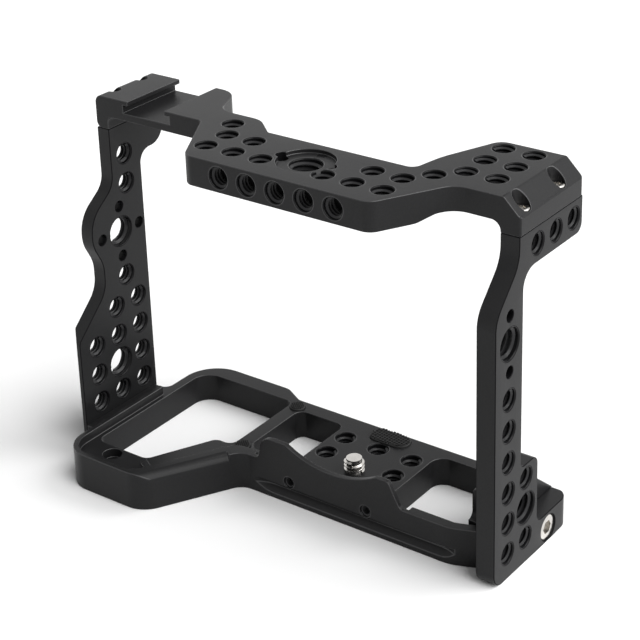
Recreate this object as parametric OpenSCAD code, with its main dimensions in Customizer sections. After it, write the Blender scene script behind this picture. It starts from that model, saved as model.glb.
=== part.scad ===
// Camera cage: a machined frame round a camera body, with its lens side facing -Y.
// The origin is the centre of the footprint, on the underside.

/* [Whole cage] */
// Width over both side plates
cage_w = 154.4; // [148:0.1:165]
// Height from the underside to the top face
cage_h = 116.4; // [113:0.1:130]
// Distance from the front face under the lens forward to the tip of the grip nose
nose_reach = 28.95; // [27:0.05:32]

/* [Top plate] */
// Thickness of the front bar
bar_t = 9.2; // [8.8:0.1:10.2]
// Depth of the front bar, front to rear
bar_d = 26.8; // [25:0.1:28]
// Distance from the front face under the lens forward to the front bar's face
bar_reach = 14.3; // [12:0.1:16]
// Thickness of the right block
block_t = 7.5; // [6.8:0.1:8.5]
// Depth of the right block
block_d = 34.6; // [34:0.1:38]
// Height of the end legs, from the top face down to the seam
leg_h = 10.8; // [10.4:0.1:13]
// Width of the chamfer on the right shoulder
shoulder = 5.3; // [4.8:0.1:5.8]

/* [Accessory shoe] */
// Width of the shoe slot between its walls
shoe_w = 19; // [18.6:0.1:19.4]
// Height of the shoe slot
shoe_slot_h = 2.6; // [2:0.1:3]
// Thickness of the lips over the shoe slot
shoe_lip_t = 1.5; // [1.2:0.1:2]
// Reach of each lip over the shoe slot
shoe_lip_reach = 2; // [1:0.1:3]
// Thickness of the floor under the shoe slot
shoe_floor_t = 2.5; // [2:0.1:3.5]
// Length of the shoe slot
shoe_l = 24.9; // [24:0.1:28]

/* [Side plates] */
// Thickness of the left plate
left_t = 4.8; // [4.4:0.1:5.6]
// Depth of the left plate's lower part
left_d = 34.1; // [33:0.1:36]
// Thickness of the right plate
right_t = 6.2; // [5.8:0.1:6.6]
// Depth of the right plate's post
post_d = 14.3; // [13.5:0.1:17]
// Height of the right plate's foot
foot_h = 9.7; // [9.3:0.1:10.5]

/* [Base] */
// Thickness of the base floor
floor_h = 9.6; // [9.2:0.1:11]
// Height of the rim above the floor
rim_h = 2.9; // [2:0.1:4]
// Thickness of the rim round the grip nose
rim_t = 1.8; // [1.2:0.1:2.5]
// Width of the rib along the grip side
rib_w = 5.2; // [4:0.1:6]
// Depth of the base under the camera
base_d = 39.8; // [39:0.1:43]
// Height of the lens lip's horns above the floor
horn_h = 11; // [9:0.1:13]
// Thickness of the lens lip
lip_t = 1.6; // [1.2:0.1:2.5]

/* [Threaded holes] */
// Major radius of the small camera thread
small_r = 3.175; // [3:0.005:3.3]
// Major radius of the large camera thread
large_r = 4.7625; // [4.6:0.0005:4.9]
// Width of the chamfer round each threaded hole
hole_chamfer = 0.3; // [0.1:0.05:0.4]
// Pitch of the threaded hole grid
pitch = 10; // [9.6:0.1:10.3]
// Radius of a locating pin hole beside a large thread
locator_r = 1.8; // [1:0.05:2.1]
// Distance from a large thread's axis to its locating pin holes
locator_reach = 8.6; // [8:0.1:9]

/* [Camera screw and pads] */
// Length of the camera screw's thread above the floor
screw_thread_l = 4.6; // [4:0.1:6]
// Free travel of the camera screw
screw_travel = 1; // [0.5:0.1:1.5]
// Radius of the round rubber pads
pad_r = 2.55; // [2:0.05:3.2]
// Height of the pads above the floor
pad_rise = 0.9; // [0.5:0.1:1.5]
// Length of the oval rubber pad
pad_oval_l = 14.3; // [12:0.1:17]
// Width of the oval rubber pad
pad_oval_w = 7.2; // [6:0.1:7.4]

/* [Hidden] */

$fn = 64;
// Overrun of every cut past the face that it opens
over = 0.5;
// Radial clearance round shanks, dowels, pads and the camera screw's neck
fit = 0.05;
// Radial clearance of a screw head in its counterbore
head_gap = 0.2;

// Places along X: the outer faces, the plates' inner faces and the lens axis
lens_x = 17;
right_x = cage_w / 2;
left_x = -right_x;
right_in = right_x - right_t;
left_in = left_x + left_t;

// Places along Y: the grip nose, the face under the lens, the base's rear and the battery bay's rear
bay_reach = 4.05;
cage_d = nose_reach + base_d + bay_reach;
nose_y = -cage_d / 2;
front_y = nose_y + nose_reach;
rear_y = front_y + base_d;
bay_y = cage_d / 2;

// Places of the top plate along Y
bar_front = front_y - bar_reach;
bar_rear = bar_front + bar_d;
block_inset = 8.25;
block_front = front_y + block_inset;
block_rear = block_front + block_d;
shoe_inset = 9.45;
shoe_front = front_y + shoe_inset;
shoe_rear = shoe_front + shoe_l;

// Heights: the seam under the top plate, its undersides, the shoe's surfaces, the rim and the horns
seam_z = cage_h - leg_h;
bar_z = cage_h - bar_t;
block_z = cage_h - block_t;
slot_top = cage_h - shoe_lip_t;
slot_z = slot_top - shoe_slot_h;
shoe_z = slot_z - shoe_floor_t;
rim_z = floor_h + rim_h;
horn_z = floor_h + horn_h;

// Rounding radii, from the smallest up
edge_r = 1;
foot_r = 2;
step_r = 2.5;
lug_r = 3;
bar_r = 4.5;
heel_r = 5;
wide_r = 6;
throat_r = 7;
notch_r = 8;
nose_r = 9.5;
bend_r = 12;
sweep_r = 30;

// Sizes of the top plate's outline
bar_left_reach = 37.6;
bar_right_reach = 26.8;
arm_run = 13.4;
flare_run = 12.8;
block_w = 26.9;
waist_run = 7.9;
waist_rise = 10.9;
waist_lean = 2;
step_back = 7.1;
step_left = 36.1;
step_slant = 8.2;
arm_notch = 52.1;
arm_tip = 57.5;
bar_left = lens_x - bar_left_reach;
bar_right = lens_x + bar_right_reach;
block_left = right_x - block_w;
waist_x = block_left - waist_run;
step_y = bar_rear + step_back;
step_x = lens_x - step_left;

// Accessory shoe: distance of its centre from the left face
shoe_reach = 21;
shoe_x = left_x + shoe_reach;

// Large thread of the top plate with its counterbore and locating pin holes
top_large_reach = 5.3;
top_large_back = 15.1;
top_large_x = lens_x - top_large_reach;
top_large_y = bar_front + top_large_back;
counterbore_r = 8.75;
counterbore_d = 1.3;
locator_d = 3;

// Threaded holes of the front bar: distances behind its face and from the lens axis
row_one = 9.2;
row_two = 18.9;
row_left = 36.9;
row_right = 5;
lone_left = 41.2;
lone_left_back = 26.8;
lone_right = 30.8;
lone_right_back = 25.8;
front_holes = 5;
front_left = 25.2;
front_hole_d = 5;

// Threaded holes of the right block: distances from the right face and from its front face
grid_inset = 13.15;
grid_front = 9.8;

// Small screws and dowels across the two seams under the top plate
seam_shank_r = 1.1;
seam_head_r = 1.95;
seam_head_h = 1.7;
seam_grip = 3.8;
seam_land = 2.2;
seam_socket_share = 0.56;
shoulder_head_r = 2.4;
shoulder_land = 4.6;
seam_dowel_r = 1;
seam_dowel_l = 6;
right_screw_inset = 3;
right_screw_front = 5.4;
right_screw_pitch = 19.1;
left_screw_front = 6.9;
left_screw_pitch = 12.5;
right_dowel_back = 14.7;
right_screw_x = right_x - right_screw_inset;
left_screw_x = left_x + seam_head_r + fit;
right_screw_ys = [for (i = [0 : 1]) block_front + right_screw_front + i * right_screw_pitch];
left_screw_ys = [for (i = [0 : 1]) shoe_front + left_screw_front + i * left_screw_pitch];
right_dowel_y = block_front + right_dowel_back;
left_dowel_y = (left_screw_ys[0] + left_screw_ys[1]) / 2;

// Left plate: places along Y and Z that its outline and holes follow
left_front_back = 11.15;
left_front = front_y - left_front_back;
left_rear = left_front + left_d;
left_grid_back = 7.8;
left_grid_z = 14.7;
left_col_pitch = 10.3;
left_large_inset = 11.5;
left_large_drop = 35.6;
left_lone_back = 6.2;
left_lone_drop = 10.1;
left_waist_back = 3.1;
left_waist_drop = 51.4;
left_bevel_w = 3.3;

// Right plate: places along Y and Z
post_back = 3.85;
post_front = front_y - post_back;
post_rear = post_front + post_d;
ear_d = 9.55;
ear_z = 33;
ear_rear = post_rear + ear_d;
block_drop = 10.9;
throat_drop = 7.7;
throat_slope = 1.035;
post_hole_back = 7.4;
post_hole_z = 8.4;
ear_hole_back = 17.3;
block_hole_front = 9.7;
block_hole_drop = 5.3;
post_large_drop = 29.9;

// Screws and dowels between the side plates and the base
base_screw_r = 2.5;
base_head_r = 4;
base_head_h = 3.6;
base_counterbore_d = 4;
base_screw_grip = 12;
hex_r = 2.1;
hex_d = 2.2;
side_shank_r = 1.5;
side_head_r = 2.8;
side_head_h = 1.6;
side_counterbore_d = 1.8;
base_screw_back = 12.95;
base_screw_y = rear_y - base_screw_back;
base_screw_z = 4.3;
base_dowel_r = 1.5;
base_dowel_l = 8;
side_z = 4.8;
side_grip = 8;
seam_socket_r = 1.1;
right_dowel_inset = 4.8;
right_dowel_pitch = 15;
left_screw_front_back = 6.5;
left_base_pitch = 21;

// Boss that carries the left plate, and the base's outline on the grip side
boss_reach = 5.7;
boss_trim = 1.3;
base_left = left_in + boss_reach;
lens_face_reach = 34.1;
bay_corner = 41.7;
bay_right = lens_x - bay_corner;
bay_slant = 7.2;
plate_taper_x = 11.3;
plate_taper_y = 4.35;
rim_end_inset = 4.9;
rim_end = left_rear - rim_end_inset;
rib_end_w = 3.2;
rib_r = 3.3;
rib_round_l = 29.2;

// Openings of the base
battery_left = 3.5;
battery_front = 13;
battery_back = 6.4;
battery_side = 14.2;
battery_side_rear = 15.4;
battery_step = 5.4;
battery_reach = 42.4;
battery_right = lens_x - battery_reach;
bridge_w = 5;
mid_left = battery_right + bridge_w;
mid_w = 18;
mid_front = 7.65;
mid_d = 26.8;
side_reach = 16;
side_left = lens_x + side_reach;
side_d = 32.1;

// Lens lip and rail
lip_left = 29.9;
lip_right = 28.1;
lip_start = lens_x - lip_left;
lip_end = lens_x + lip_right;
lip_foot = 2.6;
lip_rise = 1.3;
lip_slope = 4.2;
lens_r = 33;
lip_low_h = 6.4;
rail_t = 3.5;
stop_w = 9.2;
stop_front = 9.05;
stop_d = 17;
stop_h = 11.4;
side_w = right_in - stop_w - side_left;

// Groove along the front face
groove_z = 3.7;
groove_top = 5.4;
groove_lip_z = 1.7;
groove_d = 2;
cutter_r = 12;
groove_reach = 22;
groove_inset = 15.5;

// Camera screw, its hole and the holes around it
screw_x = 15.9;
screw_back = 14.25;
screw_y = front_y + screw_back;
neck_r = 2.5;
web_t = 4;
washer_r = 5.4;
washer_t = 0.8;
knob_r = 6.4;
knob_h = 3;
knob_slot_w = 1.6;
knob_slot_d = 1.2;
screw_chamfer = 0.7;
floor_row_front = 18.35;
floor_row_pitch = 10.2;
floor_hole_left = 14.7;
floor_hole_pitch = 12.6;
small_hole_r = 1.7;
small_hole_z = 7.5;
small_hole_left = 15.8;
small_hole_pitch = 28.6;
small_hole_d = 8;

// Pads
pad_sink = 0.8;
pad_x = -22.15;
pad_front_back = 6.75;
pad_rear_inset = 4.25;
pad_oval_inset = 4.25;
pad_oval_reach = 2.2;
pocket_r = 3.1;
pocket_d = 3;
pocket_back = 9.3;
pocket_in = 13.2;

// Rounded outlines: each point is [x, y, corner radius]
function flat(point) = [point.x, point.y];
function unit(v) = v / norm(v);
function turn(u, v) = u.x * v.y - u.y * v.x;
function half_angle(p, a, b) = acos(unit(a - p) * unit(b - p)) / 2;
function setback(p, a, b, r) = r / tan(half_angle(p, a, b));
function towards(p, q, d) = p + unit(q - p) * d;
function arc_centre(p, a, b, r) = p + unit(unit(a - p) + unit(b - p)) * r / sin(half_angle(p, a, b));

// The sector between a corner and the centre of its rounding
module corner_sector(p, a, b, r) {
    d = setback(p, a, b, r);
    c = arc_centre(p, a, b, r);
    intersection() {
        translate(c) circle(r);
        polygon([c, towards(p, a, d), p, towards(p, b, d)]);
    }
}

// A closed outline, counterclockwise, with true arcs at its corners
module outline(points) {
    n = len(points);
    function at(i) = flat(points[(i + n) % n]);
    function bulges(i) = turn(at(i) - at(i - 1), at(i + 1) - at(i)) > 0;
    function cut(i) = let (p = at(i), a = at(i - 1), b = at(i + 1), d = setback(p, a, b, points[i].z))
        [towards(p, a, d), towards(p, b, d)];
    difference() {
        union() {
            polygon([for (i = [0 : n - 1]) each points[i].z == 0 ? [at(i)] : cut(i)]);
            for (i = [0 : n - 1])
                if (points[i].z > 0 && bulges(i)) corner_sector(at(i), at(i - 1), at(i + 1), points[i].z);
        }
        for (i = [0 : n - 1])
            if (points[i].z > 0 && !bulges(i)) corner_sector(at(i), at(i - 1), at(i + 1), points[i].z);
    }
}

// Extrudes an outline drawn in Y and Z along X
module along_x(length) {
    rotate([90, 0, 90]) linear_extrude(length) children();
}

// Extrudes an outline drawn in X and Z along Y
module along_y(length) {
    translate([0, length, 0]) rotate([90, 0, 0]) linear_extrude(length) children();
}

// A hole up through a wall of thickness t, with a chamfer at both mouths
module through_hole(r, t) {
    translate([0, 0, -over]) cylinder(r = r, h = t + 2 * over);
    translate([0, 0, t - hole_chamfer]) mouth(r);
    translate([0, 0, hole_chamfer]) mirror([0, 0, 1]) mouth(r);
}

// The chamfer of a hole's mouth, opening upwards
module mouth(r) {
    cylinder(r1 = r, r2 = r + hole_chamfer + over, h = hole_chamfer + over);
}

// A blind hole down from the origin, with a chamfer at its mouth
module blind_hole(r, depth) {
    translate([0, 0, -depth]) cylinder(r = r, h = depth + over);
    translate([0, 0, -hole_chamfer]) mouth(r);
}

// Turns an upward hole into one along X that starts at the YZ plane
module lie_along_x() {
    rotate([0, 90, 0]) children();
}

// Plain hole for a shank or dowel, with clearance
module shank_hole(r, length) {
    cylinder(r = r + fit, h = length);
}

// Outline of the top plate seen from above
top_outline = [
    [bar_left, bar_front, bar_r],
    [bar_right, bar_front, bar_r],
    [bar_right + flare_run, block_front, throat_r],
    [right_x, block_front, edge_r],
    [right_x, block_rear, edge_r],
    [block_left, block_rear, bar_r],
    [waist_x, bar_rear + waist_rise, sweep_r],
    [waist_x - waist_lean, bar_rear, lug_r],
    [step_x + step_slant, bar_rear, edge_r],
    [step_x, step_y, notch_r],
    [lens_x - arm_notch, step_y, wide_r],
    [lens_x - arm_tip, shoe_rear, notch_r],
    [left_x, shoe_rear, edge_r],
    [left_x, shoe_front, 0],
    [bar_left - arm_run, shoe_front, foot_r]];

// Section of the top plate seen from the front
arm_end = bar_left - arm_run;
top_section = [
    [left_x, seam_z, foot_r],
    [left_in, seam_z, 0],
    [left_in, shoe_z, foot_r],
    [arm_end, shoe_z, edge_r],
    [arm_end + foot_r, bar_z, edge_r],
    [bar_right + flare_run - wide_r, bar_z, foot_r],
    [bar_right + flare_run - lug_r, block_z, foot_r],
    [right_in, block_z, lug_r],
    [right_in, seam_z, 0],
    [right_x, seam_z, 0],
    [right_x, cage_h - shoulder, edge_r],
    [right_x - shoulder, cage_h, edge_r],
    [left_x, cage_h, step_r]];

module top_plate() {
    color("dimgray") difference() {
        intersection() {
            translate([0, 0, seam_z]) linear_extrude(leg_h) outline(top_outline);
            translate([0, nose_y, 0]) along_y(cage_d + over) outline(top_section);
        }
        shoe_slot();
        top_large_hole();
        top_small_holes();
        front_holes();
        seam_screw_holes();
        seam_dowel_holes();
    }
}

// Slot of the accessory shoe, open at both ends and between the lips
module shoe_slot() {
    translate([shoe_x - shoe_w / 2, shoe_front - over, slot_z])
        cube([shoe_w, shoe_l + 2 * over, shoe_slot_h]);
    translate([shoe_x - shoe_w / 2 + shoe_lip_reach, shoe_front - over, slot_z])
        cube([shoe_w - 2 * shoe_lip_reach, shoe_l + 2 * over, cage_h - slot_z + over]);
}

module top_large_hole() {
    translate([top_large_x, top_large_y, bar_z]) {
        through_hole(large_r, bar_t - counterbore_d);
        translate([0, 0, bar_t - counterbore_d]) cylinder(r = counterbore_r, h = counterbore_d + over);
        for (side = [-1, 1])
            translate([side * locator_reach, 0, bar_t - locator_d])
                cylinder(r = locator_r, h = locator_d + over);
    }
}

// Places of the small threads on the bar and on the right block
bar_holes = concat(
    [for (i = [0 : 2]) [lens_x - row_left + i * pitch, bar_front + row_one]],
    [for (i = [0 : 2]) [lens_x + row_right + i * pitch, bar_front + row_one]],
    [for (i = [0 : 1]) [lens_x - row_left + i * pitch, bar_front + row_two]],
    [for (i = [1 : 2]) [lens_x + row_right + i * pitch, bar_front + row_two]],
    [[lens_x - lone_left, bar_front + lone_left_back], [lens_x + lone_right, bar_front + lone_right_back]]);
block_holes = [for (i = [0 : 1], j = [0 : 2])
    [right_x - grid_inset - i * pitch, block_front + grid_front + j * pitch]];

module top_small_holes() {
    for (p = bar_holes) translate([p.x, p.y, bar_z]) through_hole(small_r, bar_t);
    for (p = block_holes) translate([p.x, p.y, block_z]) through_hole(small_r, block_t);
}

module front_holes() {
    for (i = [0 : front_holes - 1])
        translate([lens_x - front_left + i * pitch, bar_front, cage_h - bar_t / 2])
            rotate([90, 0, 0]) blind_hole(small_r, front_hole_d);
}

// Screws across the two seams: [x, y, radius of the head, land under the head]
seam_screws = concat(
    [for (y = right_screw_ys) [right_screw_x, y, shoulder_head_r, shoulder_land]],
    [for (y = left_screw_ys) [left_screw_x, y, seam_head_r, seam_land]]);
seam_dowels = [[right_screw_x, right_dowel_y], [left_screw_x, left_dowel_y]];

// Shank holes with a counterbore above, for the four small screws
module seam_screw_holes() {
    for (p = seam_screws) translate([p.x, p.y, seam_z]) {
        translate([0, 0, -over]) shank_hole(seam_shank_r, leg_h);
        translate([0, 0, p[3]]) cylinder(r = p[2] + head_gap, h = leg_h);
    }
}

module seam_dowel_holes() {
    for (p = seam_dowels)
        translate([p.x, p.y, seam_z - seam_dowel_l / 2 - over])
            shank_hole(seam_dowel_r, seam_dowel_l + 2 * over);
}

// The part of those holes below the seams
module seam_sockets() {
    for (p = seam_screws)
        translate([p.x, p.y, seam_z - seam_grip - over]) shank_hole(seam_shank_r, seam_grip + 2 * over);
    seam_dowel_holes();
}

// Outline of the left plate, seen along +X as Y and Z, with finger room at its waist
left_hump = 9.6;
left_waist = 13.7;
left_hump_r = 11;
left_z_shares = [0.371, 0.494, 0.582, 0.656, 0.741, 0.818, 0.89];
left_outline = [
    [left_front, 0, foot_r],
    [left_rear, 0, foot_r],
    [left_rear, seam_z * left_z_shares[6], bar_r],
    [shoe_rear, seam_z * left_z_shares[6], wide_r],
    [shoe_rear, seam_z, 0],
    [shoe_front, seam_z, 0],
    [shoe_front, seam_z * left_z_shares[5], throat_r],
    [left_front + left_hump, seam_z * left_z_shares[4], left_hump_r],
    [left_front + left_hump, seam_z * left_z_shares[3], left_hump_r],
    [left_front + left_waist, seam_z * left_z_shares[2], left_hump_r],
    [left_front + left_waist, seam_z * left_z_shares[1], nose_r],
    [left_front, seam_z * left_z_shares[0], lug_r]];

// Holes of the left plate: the grid at its foot, two large threads and three small ones above
left_rows = [for (j = [0 : 3]) left_grid_z + j * pitch];
left_cols = [left_front + left_grid_back, left_front + left_grid_back + left_col_pitch,
    left_front + left_grid_back + 2 * left_col_pitch];
left_low_large = [left_cols[1], left_rows[1]];
left_high_large = [left_rear - left_large_inset, seam_z - left_large_drop];
left_small_holes = concat(
    [for (z = left_rows) [left_cols[2], z]],
    [for (j = [0, 2, 3]) [left_cols[1], left_rows[j]]],
    [for (j = [0 : 2]) [left_cols[0], left_rows[j]]],
    [for (drop = [left_lone_drop, left_lone_drop + pitch]) [shoe_front + left_lone_back, seam_z - drop]],
    [[shoe_front + left_waist_back, seam_z - left_waist_drop]]);

module left_plate() {
    color("dimgray") difference() {
        translate([left_x, 0, 0]) along_x(left_t) outline(left_outline);
        for (p = left_small_holes) translate([left_x, p.x, p.y]) lie_along_x() through_hole(small_r, left_t);
        for (p = [left_low_large, left_high_large])
            translate([left_x, p.x, p.y]) lie_along_x() through_hole(large_r, left_t);
        for (angle = [0 : 90 : 270])
            translate([left_x - over, left_high_large.x, left_high_large.y]) rotate([angle, 0, 0])
                translate([0, locator_reach, 0]) lie_along_x() cylinder(r = locator_r, h = left_t + 2 * over);
        seam_sockets();
        for (p = left_base_screws) translate([left_x, p.x, p.y]) lie_along_x() {
            translate([0, 0, -over]) cylinder(r = side_head_r + head_gap, h = side_counterbore_d + over);
            shank_hole(side_shank_r, left_t + over);
        }
        left_dowel_hole();
        left_bevel();
    }
}

// Slants the outer front edge of the plate's lower part, for the hand on the grip
module left_bevel() {
    translate([left_x, left_front, -over]) linear_extrude(seam_z)
        polygon([[-over, -over], [left_bevel_w + over, -over], [-over, left_bevel_w + over]]);
}

// Outline of the right plate, seen along +X as Y and Z
right_outline = [
    [post_front, 0, bar_r],
    [rear_y, 0, 0],
    [rear_y, foot_h, edge_r],
    [ear_rear, foot_h, lug_r],
    [ear_rear, ear_z, lug_r],
    [post_rear, ear_z, foot_r],
    [post_rear, seam_z - block_drop, wide_r],
    [block_rear, seam_z - block_drop, lug_r],
    [block_rear, seam_z, 0],
    [block_front, seam_z, 0],
    [block_front, seam_z - throat_drop, left_hump_r],
    [post_front, seam_z - throat_drop - (block_front - post_front) * throat_slope, nose_r]];

// Holes of the right plate: down the post, in the ear and in the upper block
post_x = post_front + post_hole_back;
ear_x = post_front + ear_hole_back;
post_rows = [for (j = [0 : 5]) post_hole_z + j * pitch];
post_large = [post_x, seam_z - post_large_drop];
ear_large = [ear_x, post_rows[1]];
right_small_holes = concat(
    [for (z = post_rows) [post_x, z]],
    [for (j = [0, 2]) [ear_x, post_rows[j]]],
    [for (j = [0 : 2]) [block_front + block_hole_front + j * pitch, seam_z - block_hole_drop]]);

module right_plate() {
    color("dimgray") difference() {
        translate([right_in, 0, 0]) along_x(right_t) outline(right_outline);
        for (p = right_small_holes)
            translate([right_in, p.x, p.y]) lie_along_x() through_hole(small_r, right_t);
        for (p = [post_large, ear_large])
            translate([right_in, p.x, p.y]) lie_along_x() through_hole(large_r, right_t);
        for (side = [-1, 1])
            translate([right_in - over, post_large.x, post_large.y + side * locator_reach])
                lie_along_x() cylinder(r = locator_r, h = right_t + 2 * over);
        translate([right_x - base_counterbore_d, base_screw_y, base_screw_z])
            lie_along_x() cylinder(r = base_head_r + head_gap, h = base_counterbore_d + over);
        base_right_shank_hole();
        foot_corner();
        seam_sockets();
        right_dowel_holes();
    }
}

// Rounds the foot's outer corner at the rear, seen from above
module foot_corner() {
    translate([right_x - heel_r, rear_y - heel_r, -over]) difference() {
        cube([heel_r + over, heel_r + over, foot_h + 2 * over]);
        cylinder(r = heel_r, h = foot_h + 2 * over);
    }
}

// Clearance of the cap screw from the right plate into the base
module base_right_shank_hole() {
    translate([right_in - base_screw_grip, base_screw_y, base_screw_z])
        lie_along_x() shank_hole(base_screw_r, base_screw_grip + right_t);
}

// Places between the side plates and the base: [y, z]
left_base_screws = [for (i = [0 : 1]) [left_front + left_screw_front_back + i * left_base_pitch, side_z]];
left_base_dowel_y = (left_base_screws[0].x + left_base_screws[1].x) / 2;
right_dowel_ys = [for (i = [0 : 1]) rear_y - right_dowel_inset - i * right_dowel_pitch];

module right_dowel_holes() {
    for (y = right_dowel_ys)
        translate([right_in - base_dowel_l / 2 - over, y, side_z])
            lie_along_x() shank_hole(base_dowel_r, base_dowel_l + 2 * over);
}

module left_dowel_hole() {
    translate([left_in - left_t / 2 - over, left_base_dowel_y, side_z])
        lie_along_x() shank_hole(base_dowel_r, left_t + 2 * over);
}

// X of the grip side's slanted face at a height y, moved in from its surface
slant = 30;
slant_foot = lens_x - lens_face_reach - nose_reach * tan(slant);
function slant_x(y, inset) = slant_foot + (y - nose_y) * tan(slant) - inset / cos(slant);

// Plan of the base, with the boss for the left plate and the battery bay
base_outline = [
    [base_left, nose_y, nose_r],
    [slant_x(nose_y, 0), nose_y, nose_r],
    [slant_x(front_y, 0), front_y, wide_r],
    [right_in - plate_taper_x, front_y, bend_r],
    [right_in, front_y + plate_taper_y, 0],
    [right_in, rear_y, 0],
    [bay_right, rear_y, lug_r],
    [bay_right - bay_slant, bay_y, wide_r],
    [base_left, bay_y, bend_r],
    [base_left, left_rear - boss_trim, lug_r],
    [left_in, left_rear - boss_trim, 0],
    [left_in, left_front, 0],
    [base_left, left_front, lug_r]];

// Plan of the rim round the grip nose and of the rib that follows the slant
rim_outline = [
    [base_left, nose_y, nose_r],
    [slant_x(nose_y, 0), nose_y, nose_r],
    [slant_x(front_y, 0), front_y, wide_r],
    [lip_start, front_y, 0],
    [lip_start, front_y + rib_end_w, 0],
    [slant_x(front_y + rib_end_w, rib_w), front_y + rib_end_w, throat_r],
    [slant_x(nose_y + rim_t, rib_w), nose_y + rim_t, throat_r],
    [base_left + rim_t, nose_y + rim_t, nose_r - rim_t],
    [base_left + rim_t, rim_end, rim_t / 3],
    [base_left, rim_end, rim_t / 3]];

// Openings of the base, seen from above
battery_opening = [
    [base_left + battery_left, nose_y + battery_front, lug_r],
    [slant_x(nose_y + battery_front, battery_side), nose_y + battery_front, lug_r],
    [slant_x(front_y + battery_step, battery_side_rear), front_y + battery_step, lug_r],
    [battery_right, front_y + battery_step, lug_r],
    [battery_right, bay_y - battery_back, lug_r],
    [base_left + battery_left, bay_y - battery_back, wide_r]];
mid_opening = [
    [mid_left, front_y + mid_front, lug_r],
    [mid_left + mid_w, front_y + mid_front, lug_r],
    [mid_left + mid_w, front_y + mid_front + mid_d, lug_r],
    [mid_left, front_y + mid_front + mid_d, lug_r]];
side_opening = [
    [side_left, front_y + rail_t, lug_r],
    [side_left + side_w, front_y + rail_t, lug_r],
    [side_left + side_w, front_y + rail_t + side_d, bar_r],
    [side_left, front_y + rail_t + side_d, bar_r]];

module base_plate() {
    color("dimgray") difference() {
        union() {
            linear_extrude(floor_h) outline(base_outline);
            base_rim();
            lens_lip();
            base_rail();
            side_stop();
        }
        for (opening = [battery_opening, mid_opening, side_opening])
            translate([0, 0, -over]) linear_extrude(rim_z + 2 * over) outline(opening);
        rib_rounding();
        front_groove();
        base_holes();
    }
}

module base_rim() {
    linear_extrude(rim_z) outline(rim_outline);
}

// The lip under the lens: a plate with two horns and an arc between them
module lens_lip() {
    translate([0, front_y, 0]) along_y(lip_t) difference() {
        outline([
            [lip_start, small_hole_z, 0],
            [lip_end, small_hole_z, 0],
            [lip_end, rim_z, 0],
            [lip_end - lip_foot, rim_z, foot_r],
            [lip_end - lip_foot - lip_slope, horn_z, foot_r],
            [lip_start + lip_foot + lip_rise, horn_z, bar_r],
            [lip_start + lip_foot, rim_z, foot_r],
            [lip_start, rim_z, 0]]);
        translate([lens_x, floor_h + lip_low_h + lens_r]) circle(lens_r, $fn = 180);
    }
}

// The low rail from the lip to the right plate, which follows the taper of the front
rail_outline = [
    [lip_end - over, front_y, 0],
    [right_in - plate_taper_x, front_y, bend_r],
    [right_in, front_y + plate_taper_y, 0],
    [right_in, front_y + plate_taper_y + rail_t, 0],
    [right_in - plate_taper_x, front_y + rail_t, bend_r],
    [lip_end - over, front_y + rail_t, 0]];

module base_rail() {
    linear_extrude(rim_z) outline(rail_outline);
}

// The stop beside the camera, against the right plate, with its ramp to the rear
module side_stop() {
    translate([right_in - stop_w, 0, 0]) along_x(stop_w) outline([
        [front_y + rail_t + plate_taper_y - edge_r, small_hole_z, 0],
        [rear_y, small_hole_z, 0],
        [rear_y, floor_h, 0],
        [front_y + stop_front + stop_d, floor_h + stop_h, edge_r],
        [front_y + stop_front, floor_h + stop_h, edge_r],
        [front_y + stop_front, rim_z, foot_r],
        [front_y + rail_t + plate_taper_y - edge_r, rim_z, 0]]);
}

// Rounds the outer top edge of the rib along the slant
module rib_rounding() {
    run_in = 2 * rib_r;
    translate([slant_foot, nose_y, rim_z - rib_r]) rotate([0, 0, -slant])
        translate([-rib_r, -run_in, 0]) difference() {
            cube([rib_r + over, rib_round_l + run_in, rib_r + over]);
            translate([0, -over, 0]) rotate([-90, 0, 0])
                cylinder(r = rib_r + fit, h = rib_round_l + run_in + 2 * over);
        }
}

// Dovetail groove along the front face, with the cutter's round run-outs
module front_groove() {
    start = lens_x - groove_reach;
    end = right_in - groove_inset;
    axis_y = front_y - cutter_r + groove_d;
    profile = [[0, groove_lip_z - over], [cutter_r - groove_d - over, groove_lip_z - over],
        [cutter_r, groove_z], [cutter_r, groove_top], [0, groove_top]];
    for (x = [start, end]) translate([x, axis_y, 0]) rotate_extrude($fn = 180) polygon(profile);
    translate([start, axis_y, 0]) along_x(end - start) polygon(profile);
}

// Places of the threads in the floor, seen from above
floor_row = front_y + floor_row_front;
floor_holes = concat(
    [for (i = [0 : 2]) [lens_x - floor_hole_left + i * floor_hole_pitch, floor_row + floor_row_pitch]],
    [for (i = [0, 2]) [lens_x - floor_hole_left + i * floor_hole_pitch, floor_row]]);

module base_holes() {
    for (p = floor_holes) translate([p.x, p.y, 0]) through_hole(small_r, floor_h);
    translate([screw_x, screw_y, 0]) {
        translate([0, 0, -over]) cylinder(r = knob_r + head_gap, h = web_z + over);
        shank_hole(neck_r, floor_h + over);
    }
    for (i = [0 : 1])
        translate([lens_x - small_hole_left + i * small_hole_pitch, front_y, small_hole_z])
            rotate([90, 0, 0]) blind_hole(small_hole_r, small_hole_d);
    for (p = round_pads)
        translate([p.x, p.y, floor_h - pad_sink]) cylinder(r = pad_r + fit, h = pad_sink + over);
    translate([pad_oval_x, pad_oval_y, floor_h - pad_sink])
        oval(pad_oval_l + 2 * fit, pad_oval_w + 2 * fit, pad_sink + over);
    translate([base_left + pocket_in, nose_y + pocket_back, floor_h - pocket_d])
        cylinder(r = pocket_r, h = pocket_d + over);
    base_right_shank_hole();
    right_dowel_holes();
    for (p = left_base_screws)
        translate([left_in - over, p.x, p.y]) lie_along_x() shank_hole(side_shank_r, side_grip + over);
    left_dowel_hole();
}

// A low block with half-round ends, centred on the origin
module oval(length, width, height) {
    translate([-(length - width) / 2, -width / 2, 0]) cube([length - width, width, height]);
    for (side = [-1, 1]) translate([side * (length - width) / 2, 0, 0]) cylinder(d = width, h = height);
}

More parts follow.
